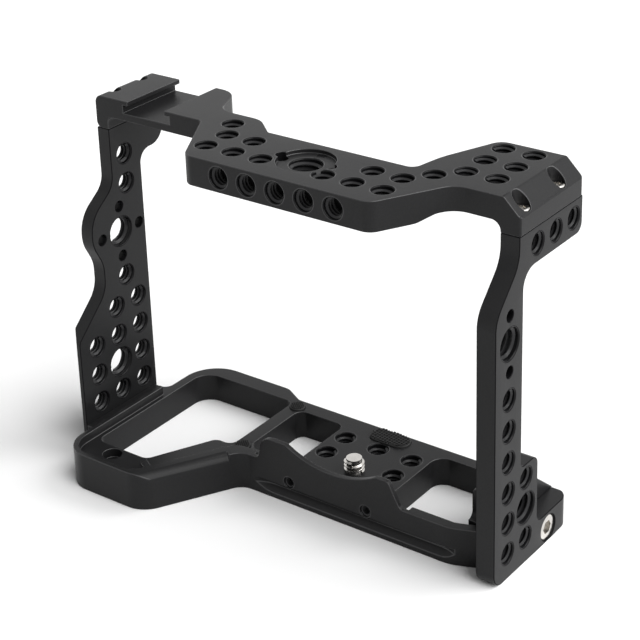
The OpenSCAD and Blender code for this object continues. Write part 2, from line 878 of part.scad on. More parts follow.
// Camera screw: thread above the floor, neck through it and a slotted knob below
web_z = floor_h - web_t;
knob_top = web_z - screw_travel - washer_t;
module camera_screw() {
    color("silver") translate([screw_x, screw_y, 0]) {
        translate([0, 0, floor_h]) {
            cylinder(r = small_r, h = screw_thread_l - screw_chamfer);
            translate([0, 0, screw_thread_l - screw_chamfer])
                cylinder(r1 = small_r, r2 = small_r - screw_chamfer, h = screw_chamfer);
        }
        translate([0, 0, knob_top - over]) cylinder(r = neck_r, h = floor_h - knob_top + 2 * over);
        difference() {
            translate([0, 0, knob_top - knob_h]) cylinder(r = knob_r, h = knob_h);
            translate([-knob_r - over, -knob_slot_w / 2, knob_top - knob_h - over])
                cube([2 * (knob_r + over), knob_slot_w, knob_slot_d + over]);
        }
    }
}

// Washer between the knob and the base's web
module screw_washer() {
    color("white") translate([screw_x, screw_y, knob_top]) difference() {
        cylinder(r = washer_r, h = washer_t);
        translate([0, 0, -over]) shank_hole(neck_r, washer_t + 2 * over);
    }
}

// Pads: two round ones beside the bridges and an oval one behind the floor holes
pad_oval_x = lens_x - pad_oval_reach;
pad_oval_y = rear_y - pad_oval_inset;
round_pads = [[pad_x, front_y + pad_front_back], [pad_x, rear_y - pad_rear_inset]];
module round_pad(place) {
    color("black") translate([place.x, place.y, floor_h - pad_sink])
        cylinder(r = pad_r, h = pad_sink + pad_rise);
}

module pad_front() {
    round_pad(round_pads[0]);
}

module pad_rear() {
    round_pad(round_pads[1]);
}

module pad_oval() {
    color("black") translate([pad_oval_x, pad_oval_y, floor_h - pad_sink])
        oval(pad_oval_l, pad_oval_w, pad_sink + pad_rise);
}

// A cap screw standing on its shank, with its head above z = 0 and a hex socket
module cap_screw(shank_r, shank_l, head_r, head_h, socket_r, socket_d) {
    difference() {
        union() {
            cylinder(r = head_r, h = head_h);
            translate([0, 0, -shank_l]) cylinder(r = shank_r, h = shank_l + head_h / 2);
        }
        translate([0, 0, head_h - socket_d]) cylinder(r = socket_r, h = socket_d + over, $fn = 6);
    }
}

// The small screws across the seams under the top plate
module seam_screw(place) {
    color("silver") translate([place.x, place.y, seam_z + place[3]])
        cap_screw(seam_shank_r, place[3] + seam_grip, place[2], seam_head_h, place[2] * seam_socket_share,
            seam_head_h / 2);
}

module right_top_screw_front() {
    seam_screw(seam_screws[0]);
}

module right_top_screw_rear() {
    seam_screw(seam_screws[1]);
}

module left_top_screw_front() {
    seam_screw(seam_screws[2]);
}

module left_top_screw_rear() {
    seam_screw(seam_screws[3]);
}

module right_base_screw() {
    color("silver") translate([right_x - base_counterbore_d, base_screw_y, base_screw_z]) lie_along_x()
        cap_screw(base_screw_r, base_screw_grip - base_counterbore_d, base_head_r, base_head_h, hex_r, hex_d);
}

module left_base_screw(place) {
    color("silver") translate([left_x + side_counterbore_d, place.x, place.y]) mirror([1, 0, 0]) lie_along_x()
        cap_screw(side_shank_r, left_t - side_counterbore_d + side_grip - over, side_head_r, side_head_h,
            seam_socket_r, side_head_h / 2);
}

module left_base_screw_front() {
    left_base_screw(left_base_screws[0]);
}

module left_base_screw_rear() {
    left_base_screw(left_base_screws[1]);
}

// Dowels across the seams under the top plate
module seam_dowel(place) {
    color("silver") translate([place.x, place.y, seam_z - seam_dowel_l / 2])
        cylinder(r = seam_dowel_r, h = seam_dowel_l);
}

module right_top_dowel() {
    seam_dowel(seam_dowels[0]);
}

module left_top_dowel() {
    seam_dowel(seam_dowels[1]);
}

// Dowels between the side plates and the base
module right_base_dowel(y) {
    color("silver") translate([right_in - base_dowel_l / 2, y, side_z]) lie_along_x()
        cylinder(r = base_dowel_r, h = base_dowel_l);
}

module right_base_dowel_front() {
    right_base_dowel(right_dowel_ys[1]);
}

module right_base_dowel_rear() {
    right_base_dowel(right_dowel_ys[0]);
}

module left_base_dowel() {
    color("silver") translate([left_in - left_t / 2, left_base_dowel_y, side_z])
        lie_along_x() cylinder(r = base_dowel_r, h = left_t);
}

top_plate();
left_plate();
right_plate();
base_plate();
camera_screw();
screw_washer();
pad_front();
pad_rear();
pad_oval();
right_top_screw_front();
right_top_screw_rear();
left_top_screw_front();
left_top_screw_rear();
right_base_screw();
left_base_screw_front();
left_base_screw_rear();
right_top_dowel();
left_top_dowel();
right_base_dowel_front();
right_base_dowel_rear();
left_base_dowel();
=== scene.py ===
"""Camera cage: machined plates, threads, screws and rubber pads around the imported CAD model."""
from math import atan2, cos, pi, radians, sin

import bpy
from bpy.props import FloatProperty, FloatVectorProperty, PointerProperty
from mathutils import Matrix, Vector


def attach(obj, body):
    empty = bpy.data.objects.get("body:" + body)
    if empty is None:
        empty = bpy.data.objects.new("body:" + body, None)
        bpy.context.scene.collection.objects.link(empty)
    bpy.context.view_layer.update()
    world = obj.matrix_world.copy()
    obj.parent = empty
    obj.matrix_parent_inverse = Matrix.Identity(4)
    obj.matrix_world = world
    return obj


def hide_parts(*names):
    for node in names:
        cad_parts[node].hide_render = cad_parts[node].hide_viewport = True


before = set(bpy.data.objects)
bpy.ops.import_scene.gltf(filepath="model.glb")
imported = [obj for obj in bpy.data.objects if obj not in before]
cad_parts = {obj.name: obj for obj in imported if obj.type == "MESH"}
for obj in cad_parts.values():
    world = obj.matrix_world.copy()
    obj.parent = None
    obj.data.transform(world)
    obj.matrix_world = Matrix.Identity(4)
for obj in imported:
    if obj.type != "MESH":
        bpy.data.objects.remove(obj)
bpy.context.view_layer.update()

bl_info = {
    "name": "Camera cage",
    "version": (1, 0, 0),
    "blender": (4, 5, 0),
    "location": "View3D > Sidebar > Cage",
    "description": "Dresses a camera cage with machined edges, threads, screws, pads and finishes",
    "category": "Object",
}

MM = 0.001

# Faces of the plates, in millimetres in the frame's axes: x to the right, y to the rear, z up
RIGHT_OUTER, RIGHT_INNER = 77.2, 71.0
LEFT_OUTER, LEFT_INNER = -77.2, -72.4
TOP_FACE, BAR_UNDER, BLOCK_UNDER, SEAM = 116.4, 107.2, 108.9, 105.6
FLOOR_TOP = 9.6
LIP_FACE, BAR_FRONT = -7.45, -21.75

# Bores: the radii of the three threads, a mouth's chamfer, how deep a thread starts, and the counterbore's depth
SMALL_BORE, LARGE_BORE, FACE_BORE = 3.175, 4.7625, 1.7
BORE_CHAMFER, BORE_MOUTH, TOP_COUNTERBORE = 0.3, 0.5, 1.3

# A thread's ridge: its width in pitches, its crest's share of that, how deep its root stands in the wall,
# and the steps of a turn
RIDGE_WIDTH, CREST_SHARE, RIDGE_SINK = 0.74, 0.22, 0.04
BORE_STEPS, TIP_STEPS = 20, 40

# How far a face's normal follows an axis: more than this along it, less than this across it
ALONG, ACROSS = 0.9, 0.1

# Plates: the distance that welds two points, and the angles up to which edges stay unbroken and shade smooth
WELD, UNBROKEN, SMOOTH_PLATE = 0.002, 32, 62

# Small parts: the sides of a round, and the angles of a corner to break and of an edge that shades smooth
ROUND_SIDES, CORNER, KNOB_CORNER = 48, 40, 50
SMOOTH_SCREW, SMOOTH_RIDGE, SMOOTH_PAD = 35, 40, 30

# Centres of the threaded holes, plate by plate
BAR_HOLES = [(x, -12.55) for x in (-19.9, -9.9, 0.1, 22.0, 32.0, 42.0)] + \
    [(x, -2.85) for x in (-19.9, -9.9, 32.0, 42.0)] + [(-24.2, 5.05), (47.8, 4.05)]
BLOCK_HOLES = [(x, y) for x in (64.05, 54.05) for y in (10.6, 20.6, 30.6)]
TOP_LARGE_HOLE = (11.7, -6.65)
BAR_FACE_HOLES = [(-8.2 + 10 * i, 111.8) for i in range(5)]
BAR_FACE_DEPTH = 5.0
LEFT_HOLES = [(y, z) for y in (-10.8, -0.5, 9.8) for z in (14.7, 24.7, 34.7, 44.7)
              if (y, z) not in ((-10.8, 44.7), (-0.5, 24.7))] + [(8.2, 95.5), (8.2, 85.5), (5.1, 54.2)]
LEFT_LARGE_HOLES = [(4.0, 70.0), (-0.5, 24.7)]
RIGHT_HOLES = [(-3.9, 8.4 + 10 * i) for i in range(6)] + [(6.0, 8.4), (6.0, 28.4)] + \
    [(y, 100.3) for y in (10.5, 20.5, 30.5)]
RIGHT_LARGE_HOLES = [(6.0, 18.4), (-3.9, 75.7)]
FLOOR_HOLES = [(2.3, 21.1), (14.9, 21.1), (27.5, 21.1), (2.3, 10.9), (27.5, 10.9)]
LIP_HOLES = [(1.2, 7.5), (29.8, 7.5)]
LIP_HOLE_DEPTH = 8.0

# Centres of the locating holes beside the large threads
LOCATOR_R = 1.8
TOP_LOCATORS = [(3.1, -6.65), (20.3, -6.65)]
LEFT_LOCATORS = [(12.6, 70.0), (4.0, 78.6), (-4.6, 70.0), (4.0, 61.4)]
RIGHT_LOCATORS = [(-3.9, 67.1), (-3.9, 84.3)]

# The bores of each plate: the axis that they follow, their centres on the two other axes and their radius
BORES = {
    "top_plate": [("z", BAR_HOLES + BLOCK_HOLES, SMALL_BORE), ("z", [TOP_LARGE_HOLE], LARGE_BORE),
                  ("y", BAR_FACE_HOLES, SMALL_BORE), ("z", TOP_LOCATORS, LOCATOR_R)],
    "left_plate": [("x", LEFT_HOLES, SMALL_BORE), ("x", LEFT_LARGE_HOLES, LARGE_BORE),
                   ("x", LEFT_LOCATORS, LOCATOR_R)],
    "right_plate": [("x", RIGHT_HOLES, SMALL_BORE), ("x", RIGHT_LARGE_HOLES, LARGE_BORE),
                    ("x", RIGHT_LOCATORS, LOCATOR_R)],
    "base_plate": [("z", FLOOR_HOLES, SMALL_BORE), ("y", LIP_HOLES, FACE_BORE)],
}

# The captive camera screw, from its knob up
SCREW_AXIS = (15.9, 6.8)
KNOB_LOW, KNOB_TOP, KNOB_R = 0.8, 3.8, 6.4
NECK_R, TIP_TOP = 2.5, 14.2
KNOB_SLOT_W, KNOB_SLOT_D, SLOT_REACH = 1.6, 1.2, 2.2
KNOB_SIDES, KNOB_BREAK, GRIP_DEPTH, GRIP_GAP = 60, 0.16, 0.22, 0.08

# Its thread: the height over the core, the root's depth in it, the start under the floor's top, and how much
# shorter it is than the tip above the floor
THREAD_RISE, CORE_SINK = 0.62, 0.1
THREAD_START, THREAD_SHORT = 0.3, 0.1

# Cap screws. At the seams: side, x, the two y, the head's radius and the seat above the seam
SEAM_SCREWS = (("right", 74.2, (6.2, 25.3), 2.4, 4.6), ("left", -75.2, (8.9, 21.4), 1.95, 2.2))
SEAM_HEAD_H, SEAM_SHANK_R, SEAM_SHANK_L, SEAM_SOCKET_D = 1.7, 1.1, 6.0, 0.85
SOCKET_SHARE, HEAD_BREAK = 0.56, 0.09

# In the foot, with its y and z, and through the left plate
FOOT_SCREW, FOOT_HEAD_R, FOOT_HEAD_H, FOOT_SEAT = (19.4, 4.3), 4.0, 3.6, 4.0
FOOT_SHANK_R, FOOT_SHANK_L, FOOT_SOCKET_D = 2.5, 8.0, 2.2
SIDE_SCREWS, SIDE_Z, SIDE_SEAT = (("front", -12.1), ("rear", 8.9)), 4.8, 1.8
SIDE_HEAD_R, SIDE_HEAD_H, SIDE_SHANK_R, SIDE_SHANK_L = 2.8, 1.6, 1.5, 10.5
SIDE_SOCKET_R, SIDE_SOCKET_D = 1.1, 0.8

# Pads on the floor
PAD_LOW, PAD_TOP = 8.8, 10.5
ROUND_PADS = {"pad_front": (-22.15, -0.7), "pad_rear": (-22.15, 28.1)}
ROUND_PAD_R = 2.55
OVAL_CENTRE, OVAL_LENGTH, OVAL_WIDTH = (14.8, 28.1), 14.3, 7.2
ROUND_EDGE, OVAL_EDGE = 0.2, 0.25

# The fields of studs on the pads: their sizes, and each stud's size, step, turn in degrees and count
ROUND_FIELD_D, OVAL_FIELD_INSET, FIELD_SINK = 4.6, 0.5, 0.3
ROUND_STUD, ROUND_STEP, ROUND_TURN, ROUND_COUNT = (0.42, 0.42), (0.72, 0.62), 20, (16, 16)
OVAL_STUD, OVAL_STEP, OVAL_TURN, OVAL_COUNT = (1.1, 0.6), (1.45, 0.84), 38, (22, 26)
STUD_TAPER = (0.78, 0.7, 1)

# Roughness of the finishes that have no setting of their own
RUBBER_ROUGHNESS, NYLON_ROUGHNESS = 0.62, 0.45

# Camera of the view, in millimetres and degrees, and the photograph's frame in pixels
VIEW_FROM = (298.28, -378.42, 306.01)
VIEW_TURN, VIEW_DIP, VIEW_ROLL = 35.77, 22.04, -1.33
FRAME_PIXELS, FOCAL_PIXELS = 640, 1797.669
AXIS_PIXEL = (360, 160)
SENSOR = 36.0

# Stage: the floor's width and corners in metres, its drop in millimetres, and the key light in degrees
FLOOR_WIDTH, FLOOR_CORNER, FLOOR_DROP = 6, 2, 0.05
KEY_TURN, KEY_LEAN, KEY_SPREAD = -8, 46, 75


class CageSizes(bpy.types.PropertyGroup):
    """Sizes of the small forms that dress the plates."""
    edge_break: FloatProperty(name="Edge break", description="Width of the broken edges of the plates",
                              default=0.22 * MM, min=0.05 * MM, max=0.5 * MM, unit="LENGTH", precision=5)
    small_pitch: FloatProperty(name="Small pitch", description="Pitch of the quarter inch threads",
                               default=1.27 * MM, min=0.8 * MM, max=2 * MM, unit="LENGTH", precision=5)
    large_pitch: FloatProperty(name="Large pitch", description="Pitch of the three eighths inch threads",
                               default=1.5875 * MM, min=1 * MM, max=2.5 * MM, unit="LENGTH", precision=5)
    face_pitch: FloatProperty(name="Face pitch", description="Pitch of the small threads in the lip",
                              default=0.7 * MM, min=0.4 * MM, max=1 * MM, unit="LENGTH", precision=5)
    thread_depth: FloatProperty(name="Thread depth", description="Depth of a thread as a share of its pitch",
                                default=0.5, min=0.2, max=0.6)
    pad_bump: FloatProperty(name="Pad bump", description="Height of the bumps on the rubber pads",
                            default=0.38 * MM, min=0.1 * MM, max=0.6 * MM, unit="LENGTH", precision=5)


class CageFinish(bpy.types.PropertyGroup):
    """Colours and roughness of the finishes."""
    anodised: FloatVectorProperty(name="Anodised", description="Colour of the black anodised aluminium",
                                  subtype="COLOR", default=(0.012, 0.012, 0.0125), min=0, max=1)
    # The edge colour is a painted highlight: lighter than the faces, for the lit edges of the top and the base
    # and the threads' crests
    edge: FloatVectorProperty(name="Edge", description="Colour of the anodised edges and thread crests",
                              subtype="COLOR", default=(0.020, 0.020, 0.021), min=0, max=1)
    # The thread colour is painted shade: darker than the faces, for the bores' walls and chamfers and the side
    # plates' unlit edges
    thread: FloatVectorProperty(name="Thread", description="Colour of the bores' walls and of the dark edges",
                                subtype="COLOR", default=(0.006, 0.006, 0.0065), min=0, max=1)
    steel: FloatVectorProperty(name="Steel", description="Colour of the stainless screws",
                               subtype="COLOR", default=(0.62, 0.60, 0.57), min=0, max=1)
    rubber: FloatVectorProperty(name="Rubber", description="Colour of the rubber pads",
                                subtype="COLOR", default=(0.012, 0.012, 0.012), min=0, max=1)
    nylon: FloatVectorProperty(name="Nylon", description="Colour of the nylon washer",
                               subtype="COLOR", default=(0.72, 0.71, 0.68), min=0, max=1)
    anodised_roughness: FloatProperty(name="Anodised roughness", description="Roughness of the blasted faces",
                                      default=0.36, min=0.1, max=0.9)


class CageStage(bpy.types.PropertyGroup):
    """Floor, backdrop and lights."""
    floor: FloatVectorProperty(name="Floor", description="Colour of the floor", subtype="COLOR",
                               default=(0.985, 0.985, 0.985), min=0, max=1)
    key: FloatProperty(name="Key light", description="Strength of the high light from the right",
                       default=4.6, min=0, max=8)
    fill: FloatProperty(name="Fill", description="Strength of the room's light",
                        default=0.25, min=0, max=2)


# Picking, copying and settling pieces

def deselect():
    """Leaves edit mode and selects nothing."""
    if bpy.context.object and bpy.context.object.mode != "OBJECT":
        bpy.ops.object.mode_set(mode="OBJECT")
    bpy.ops.object.select_all(action="DESELECT")


def pick(obj):
    """Makes one object the selected and active one."""
    deselect()
    obj.select_set(True)
    bpy.context.view_layer.objects.active = obj
    return obj


def fresh():
    """The object that the last operator added."""
    return pick(bpy.context.object)


def edit(obj, kind="FACE"):
    """Enters edit mode on an object with nothing selected."""
    pick(obj)
    bpy.ops.object.mode_set(mode="EDIT")
    bpy.ops.mesh.select_mode(type=kind)
    bpy.ops.mesh.select_all(action="DESELECT")


def choose(obj, test, kind="FACE"):
    """Enters edit mode with the faces, edges or vertices selected that pass a test of their place."""
    edit(obj, kind)
    bpy.ops.object.mode_set(mode="OBJECT")
    mesh = obj.data
    parts = {"FACE": mesh.polygons, "EDGE": mesh.edges, "VERT": mesh.vertices}[kind]
    for part in parts:
        part.select = test(part)
    bpy.ops.object.mode_set(mode="EDIT")


def leave():
    """Leaves edit mode."""
    bpy.ops.object.mode_set(mode="OBJECT")


def fix_place(obj):
    """Moves an object's place, turn and scale into its mesh."""
    pick(obj)
    bpy.ops.object.transform_apply(location=True, rotation=True, scale=True)
    return obj


def put(obj, matrix):
    """Places an object by a matrix and fixes the place in its mesh."""
    obj.matrix_world = matrix
    bpy.context.view_layer.update()
    return fix_place(obj)


def apply_modifier(obj, kind, **settings):
    """Adds a modifier with its settings and applies it."""
    pick(obj)
    modifier = obj.modifiers.new(kind.title(), kind)
    for name, value in settings.items():
        setattr(modifier, name, value)
    bpy.ops.object.modifier_apply(modifier=modifier.name)


def face_outwards(obj):
    """Recalculates the normals of a closed mesh."""
    edit(obj)
    bpy.ops.mesh.select_all(action="SELECT")
    bpy.ops.mesh.normals_make_consistent(inside=False)
    leave()


def copy_at(obj, matrices):
    """Copies of an object at several places, each with its own mesh, joined as one."""
    copies = []
    for matrix in matrices:
        twin = bpy.data.objects.new(obj.name, obj.data.copy())
        bpy.context.scene.collection.objects.link(twin)
        twin.data.transform(matrix)
        copies.append(twin)
    bpy.data.objects.remove(obj)
    return join(copies)


def join(pieces):
    """Joins pieces into the first."""
    pick(pieces[0])
    for piece in pieces[1:]:
        piece.select_set(True)
    if len(pieces) > 1:
        bpy.ops.object.join()
    return pieces[0]


def smooth(obj, angle):
    """Smooth shading across the shallow edges."""
    pick(obj)
    bpy.ops.object.shade_smooth_by_angle(angle=radians(angle))


def dress(obj, name, body, slot, *finishes):
    """Names a finished piece, gives it its finishes and its body."""
    obj.name = name
    obj.data.name = name
    obj.data.materials.clear()
    for finish in finishes:
        obj.data.materials.append(finish)
    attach(obj, body)
    return obj


def upright(x, y, z):
    """The place of a part that stands on Z."""
    return Matrix.Translation(Vector((x, y, z)) * MM)


def lying_x(x, y, z, flip=False):
    """The place of a part whose own Z points along X, or against it."""
    return Matrix.Translation(Vector((x, y, z)) * MM) @ Matrix.Rotation(-pi / 2 if flip else pi / 2, 4, "Y")


def lying_y(x, y, z):
    """The place of a part whose own Z points to the rear."""
    return Matrix.Translation(Vector((x, y, z)) * MM) @ Matrix.Rotation(-pi / 2, 4, "X")


# Node groups that several finishes share

def group_with(name, inputs, outputs):
    """A shader node group with named sockets, and its input and output nodes."""
    group = bpy.data.node_groups.new(name, "ShaderNodeTree")
    for label, kind, default in inputs:
        socket = group.interface.new_socket(name=label, in_out="INPUT", socket_type=kind)
        if default is not None:
            socket.default_value = default
    for label, kind in outputs:
        group.interface.new_socket(name=label, in_out="OUTPUT", socket_type=kind)
    return group, group.nodes.new("NodeGroupInput"), group.nodes.new("NodeGroupOutput")


def blasted_grain_group():
    """Fine grain of a blasted face: a height and a light and dark speckle."""
    group, inlet, outlet = group_with(
        "Blasted grain",
        [("Place", "NodeSocketVector", None), ("Scale", "NodeSocketFloat", 3000.0),
         ("Speckle", "NodeSocketFloat", 0.15)],
        [("Height", "NodeSocketFloat"), ("Tone", "NodeSocketFloat")])
    nodes, links = group.nodes, group.links
    fine = nodes.new("ShaderNodeTexNoise")
    fine.inputs["Detail"].default_value = 3.0
    fine.inputs["Roughness"].default_value = 0.65
    pits = nodes.new("ShaderNodeTexVoronoi")
    pits.feature = "F1"
    links.new(inlet.outputs["Place"], fine.inputs["Vector"])
    links.new(inlet.outputs["Scale"], fine.inputs["Scale"])
    links.new(inlet.outputs["Place"], pits.inputs["Vector"])
    links.new(inlet.outputs["Scale"], pits.inputs["Scale"])
    both = nodes.new("ShaderNodeMath")
    both.operation = "ADD"
    links.new(fine.outputs["Fac"], both.inputs[0])
    links.new(pits.outputs["Distance"], both.inputs[1])
    links.new(both.outputs[0], outlet.inputs["Height"])
    centred = nodes.new("ShaderNodeMath")
    centred.operation = "SUBTRACT"
    centred.inputs[1].default_value = 0.5
    links.new(fine.outputs["Fac"], centred.inputs[0])
    tone = nodes.new("ShaderNodeMath")
    tone.operation = "MULTIPLY_ADD"
    tone.inputs[2].default_value = 1.0
    links.new(centred.outputs[0], tone.inputs[0])
    links.new(inlet.outputs["Speckle"], tone.inputs[1])
    links.new(tone.outputs[0], outlet.inputs["Tone"])
    return group


def drift_group():
    """Slow change of tone over a face, as handling and dye leave it."""
    group, inlet, outlet = group_with(
        "Slow drift",
        [("Place", "NodeSocketVector", None), ("Scale", "NodeSocketFloat", 25.0),
         ("Low", "NodeSocketFloat", 0.9), ("High", "NodeSocketFloat", 1.1)],
        [("Tone", "NodeSocketFloat")])
    nodes, links = group.nodes, group.links
    cloud = nodes.new("ShaderNodeTexNoise")
    cloud.inputs["Detail"].default_value = 4.0
    cloud.inputs["Roughness"].default_value = 0.55
    links.new(inlet.outputs["Place"], cloud.inputs["Vector"])
    links.new(inlet.outputs["Scale"], cloud.inputs["Scale"])
    spread = nodes.new("ShaderNodeMapRange")
    spread.inputs["From Min"].default_value = 0.3
    spread.inputs["From Max"].default_value = 0.7
    links.new(cloud.outputs["Fac"], spread.inputs["Value"])
    links.new(inlet.outputs["Low"], spread.inputs["To Min"])
    links.new(inlet.outputs["High"], spread.inputs["To Max"])
    links.new(spread.outputs["Result"], outlet.inputs["Tone"])
    return group


def turned_marks_group():
    """Fine marks of a lathe or a polish, stretched along one direction."""
    group, inlet, outlet = group_with(
        "Turned marks",
        [("Place", "NodeSocketVector", None), ("Scale", "NodeSocketFloat", 900.0),
         ("Stretch", "NodeSocketVector", (0.05, 0.05, 1.0))],
        [("Height", "NodeSocketFloat")])
    nodes, links = group.nodes, group.links
    pull = nodes.new("ShaderNodeVectorMath")
    pull.operation = "MULTIPLY"
    marks = nodes.new("ShaderNodeTexNoise")
    marks.inputs["Detail"].default_value = 2.0
    links.new(inlet.outputs["Place"], pull.inputs[0])
    links.new(inlet.outputs["Stretch"], pull.inputs[1])
    links.new(pull.outputs["Vector"], marks.inputs["Vector"])
    links.new(inlet.outputs["Scale"], marks.inputs["Scale"])
    links.new(marks.outputs["Fac"], outlet.inputs["Height"])
    return group


def shared_group(name, build):
    """A node group by its name, built at its first use."""
    return bpy.data.node_groups.get(name) or build()


def blank_material(name):
    """A material with one Principled BSDF and the object's coordinates."""
    material = bpy.data.materials.new(name)
    material.use_nodes = True
    nodes = material.node_tree.nodes
    place = nodes.new("ShaderNodeTexCoord")
    return material, nodes, material.node_tree.links, nodes["Principled BSDF"], place.outputs["Object"]


def use_group(nodes, links, group, place, **values):
    """Places a shared group in a material with its own values."""
    node = nodes.new("ShaderNodeGroup")
    node.node_tree = group
    links.new(place, node.inputs["Place"])
    for name, value in values.items():
        node.inputs[name].default_value = value
    return node


def times(nodes, links, first, second):
    """The product of two values, each a socket or a number."""
    node = nodes.new("ShaderNodeMath")
    node.operation = "MULTIPLY"
    for slot, value in zip(node.inputs, (first, second)):
        if isinstance(value, (int, float)):
            slot.default_value = value
        else:
            links.new(value, slot)
    return node.outputs[0]


def tinted(nodes, links, colour, tone):
    """A colour made lighter and darker by a tone around one."""
    node = nodes.new("ShaderNodeVectorMath")
    node.operation = "SCALE"
    node.inputs[0].default_value = colour
    links.new(tone, node.inputs["Scale"])
    return node.outputs["Vector"]


def bumped(nodes, links, shader, height, depth, strength):
    """Feeds a height through a Bump node, its depth in millimetres, into a shader's normal."""
    bump = nodes.new("ShaderNodeBump")
    bump.inputs["Strength"].default_value = strength
    bump.inputs["Distance"].default_value = depth * MM
    links.new(height, bump.inputs["Height"])
    links.new(bump.outputs["Normal"], shader.inputs["Normal"])


def anodised_finish(name, colour, roughness, gloss, grain, speckle):
    """Black anodised aluminium with a blasted grain."""
    if name in bpy.data.materials:
        return bpy.data.materials[name]
    material, nodes, links, shader, place = blank_material(name)
    blast = use_group(nodes, links, shared_group("Blasted grain", blasted_grain_group), place,
                      Scale=2600.0, Speckle=speckle)
    drift = use_group(nodes, links, shared_group("Slow drift", drift_group), place,
                      Scale=22.0, Low=0.88, High=1.12)
    tone = times(nodes, links, blast.outputs["Tone"], drift.outputs["Tone"])
    links.new(tinted(nodes, links, colour, tone), shader.inputs["Base Color"])
    links.new(times(nodes, links, drift.outputs["Tone"], roughness), shader.inputs["Roughness"])
    shader.inputs["Specular IOR Level"].default_value = gloss
    bumped(nodes, links, shader, blast.outputs["Height"], depth=grain, strength=0.6)
    return material


def plate_finish():
    """The blasted faces of the plates."""
    finish = bpy.context.scene.cage_finish
    return anodised_finish("Anodised black", finish.anodised, finish.anodised_roughness, gloss=0.15,
                           grain=0.02, speckle=0.9)


def painted_highlight_edge_finish():
    """The broken edges of the top and the base, lighter than the faces: a painted highlight."""
    finish = bpy.context.scene.cage_finish
    return anodised_finish("Anodised edge", finish.edge, roughness=0.26, gloss=0.42,
                           grain=0.006, speckle=0.2)


def painted_shade_edge_finish():
    """The broken edges of the side plates, which take no light, in the dark thread colour: painted shade."""
    finish = bpy.context.scene.cage_finish
    return anodised_finish("Anodised dark edge", finish.thread, roughness=0.5, gloss=0.03,
                           grain=0.004, speckle=0.1)


def painted_highlight_crest_finish():
    """The crests of the threads, in the lighter edge colour: a painted highlight."""
    finish = bpy.context.scene.cage_finish
    return anodised_finish("Anodised thread crest", finish.edge, roughness=0.24, gloss=0.18,
                           grain=0.003, speckle=0.1)


def painted_shade_bore_finish():
    """The walls of the bores between the crests, darker than the faces: painted shade."""
    finish = bpy.context.scene.cage_finish
    return anodised_finish("Anodised thread", finish.thread, roughness=0.25, gloss=0.12,
                           grain=0.004, speckle=0.1)


def steel_finish(name="Stainless steel", roughness=0.22, stretch=(0.05, 0.05, 1.0)):
    """Bright stainless steel with turning marks."""
    if name in bpy.data.materials:
        return bpy.data.materials[name]
    material, nodes, links, shader, place = blank_material(name)
    drift = use_group(nodes, links, shared_group("Slow drift", drift_group), place,
                      Scale=350.0, Low=0.86, High=1.1)
    marks = use_group(nodes, links, shared_group("Turned marks", turned_marks_group), place,
                      Scale=2400.0, Stretch=stretch)
    shader.inputs["Metallic"].default_value = 1.0
    links.new(tinted(nodes, links, bpy.context.scene.cage_finish.steel, drift.outputs["Tone"]),
              shader.inputs["Base Color"])
    links.new(times(nodes, links, drift.outputs["Tone"], roughness), shader.inputs["Roughness"])
    bumped(nodes, links, shader, marks.outputs["Height"], depth=0.01, strength=0.5)
    return material


def rubber_finish():
    """Matt black rubber."""
    if "Black rubber" in bpy.data.materials:
        return bpy.data.materials["Black rubber"]
    material, nodes, links, shader, place = blank_material("Black rubber")
    blast = use_group(nodes, links, shared_group("Blasted grain", blasted_grain_group), place,
                      Scale=4200.0, Speckle=0.5)
    drift = use_group(nodes, links, shared_group("Slow drift", drift_group), place,
                      Scale=180.0, Low=0.8, High=1.25)
    tone = times(nodes, links, blast.outputs["Tone"], drift.outputs["Tone"])
    links.new(tinted(nodes, links, bpy.context.scene.cage_finish.rubber, tone), shader.inputs["Base Color"])
    links.new(times(nodes, links, drift.outputs["Tone"], RUBBER_ROUGHNESS), shader.inputs["Roughness"])
    shader.inputs["Specular IOR Level"].default_value = 0.3
    bumped(nodes, links, shader, blast.outputs["Height"], depth=0.03, strength=0.6)
    return material


def nylon_finish():
    """Off-white nylon with a faint cloud."""
    if "White nylon" in bpy.data.materials:
        return bpy.data.materials["White nylon"]
    material, nodes, links, shader, place = blank_material("White nylon")
    drift = use_group(nodes, links, shared_group("Slow drift", drift_group), place,
                      Scale=250.0, Low=0.94, High=1.03)
    marks = use_group(nodes, links, shared_group("Turned marks", turned_marks_group), place, Scale=1500.0)
    links.new(tinted(nodes, links, bpy.context.scene.cage_finish.nylon, drift.outputs["Tone"]),
              shader.inputs["Base Color"])
    links.new(times(nodes, links, drift.outputs["Tone"], NYLON_ROUGHNESS), shader.inputs["Roughness"])
    bumped(nodes, links, shader, marks.outputs["Height"], depth=0.01, strength=0.5)
    return material


# Forms that several pieces share

def paint_shade_in_bores(mesh, axis, centres, reach):
    """Gives the walls and chamfers within reach of some bores' axes the finish in the third slot, the darker
    thread colour: painted shade in the holes.
    """
    across = [i for i in range(3) if i != axis]
    for centre in centres:
        middle = Vector(centre) * MM
        for face in mesh.polygons:
            off = Vector((face.center[across[0]], face.center[across[1]])) - middle
            if off.length < reach and abs(face.normal[axis]) < ALONG:
                face.material_index = 2


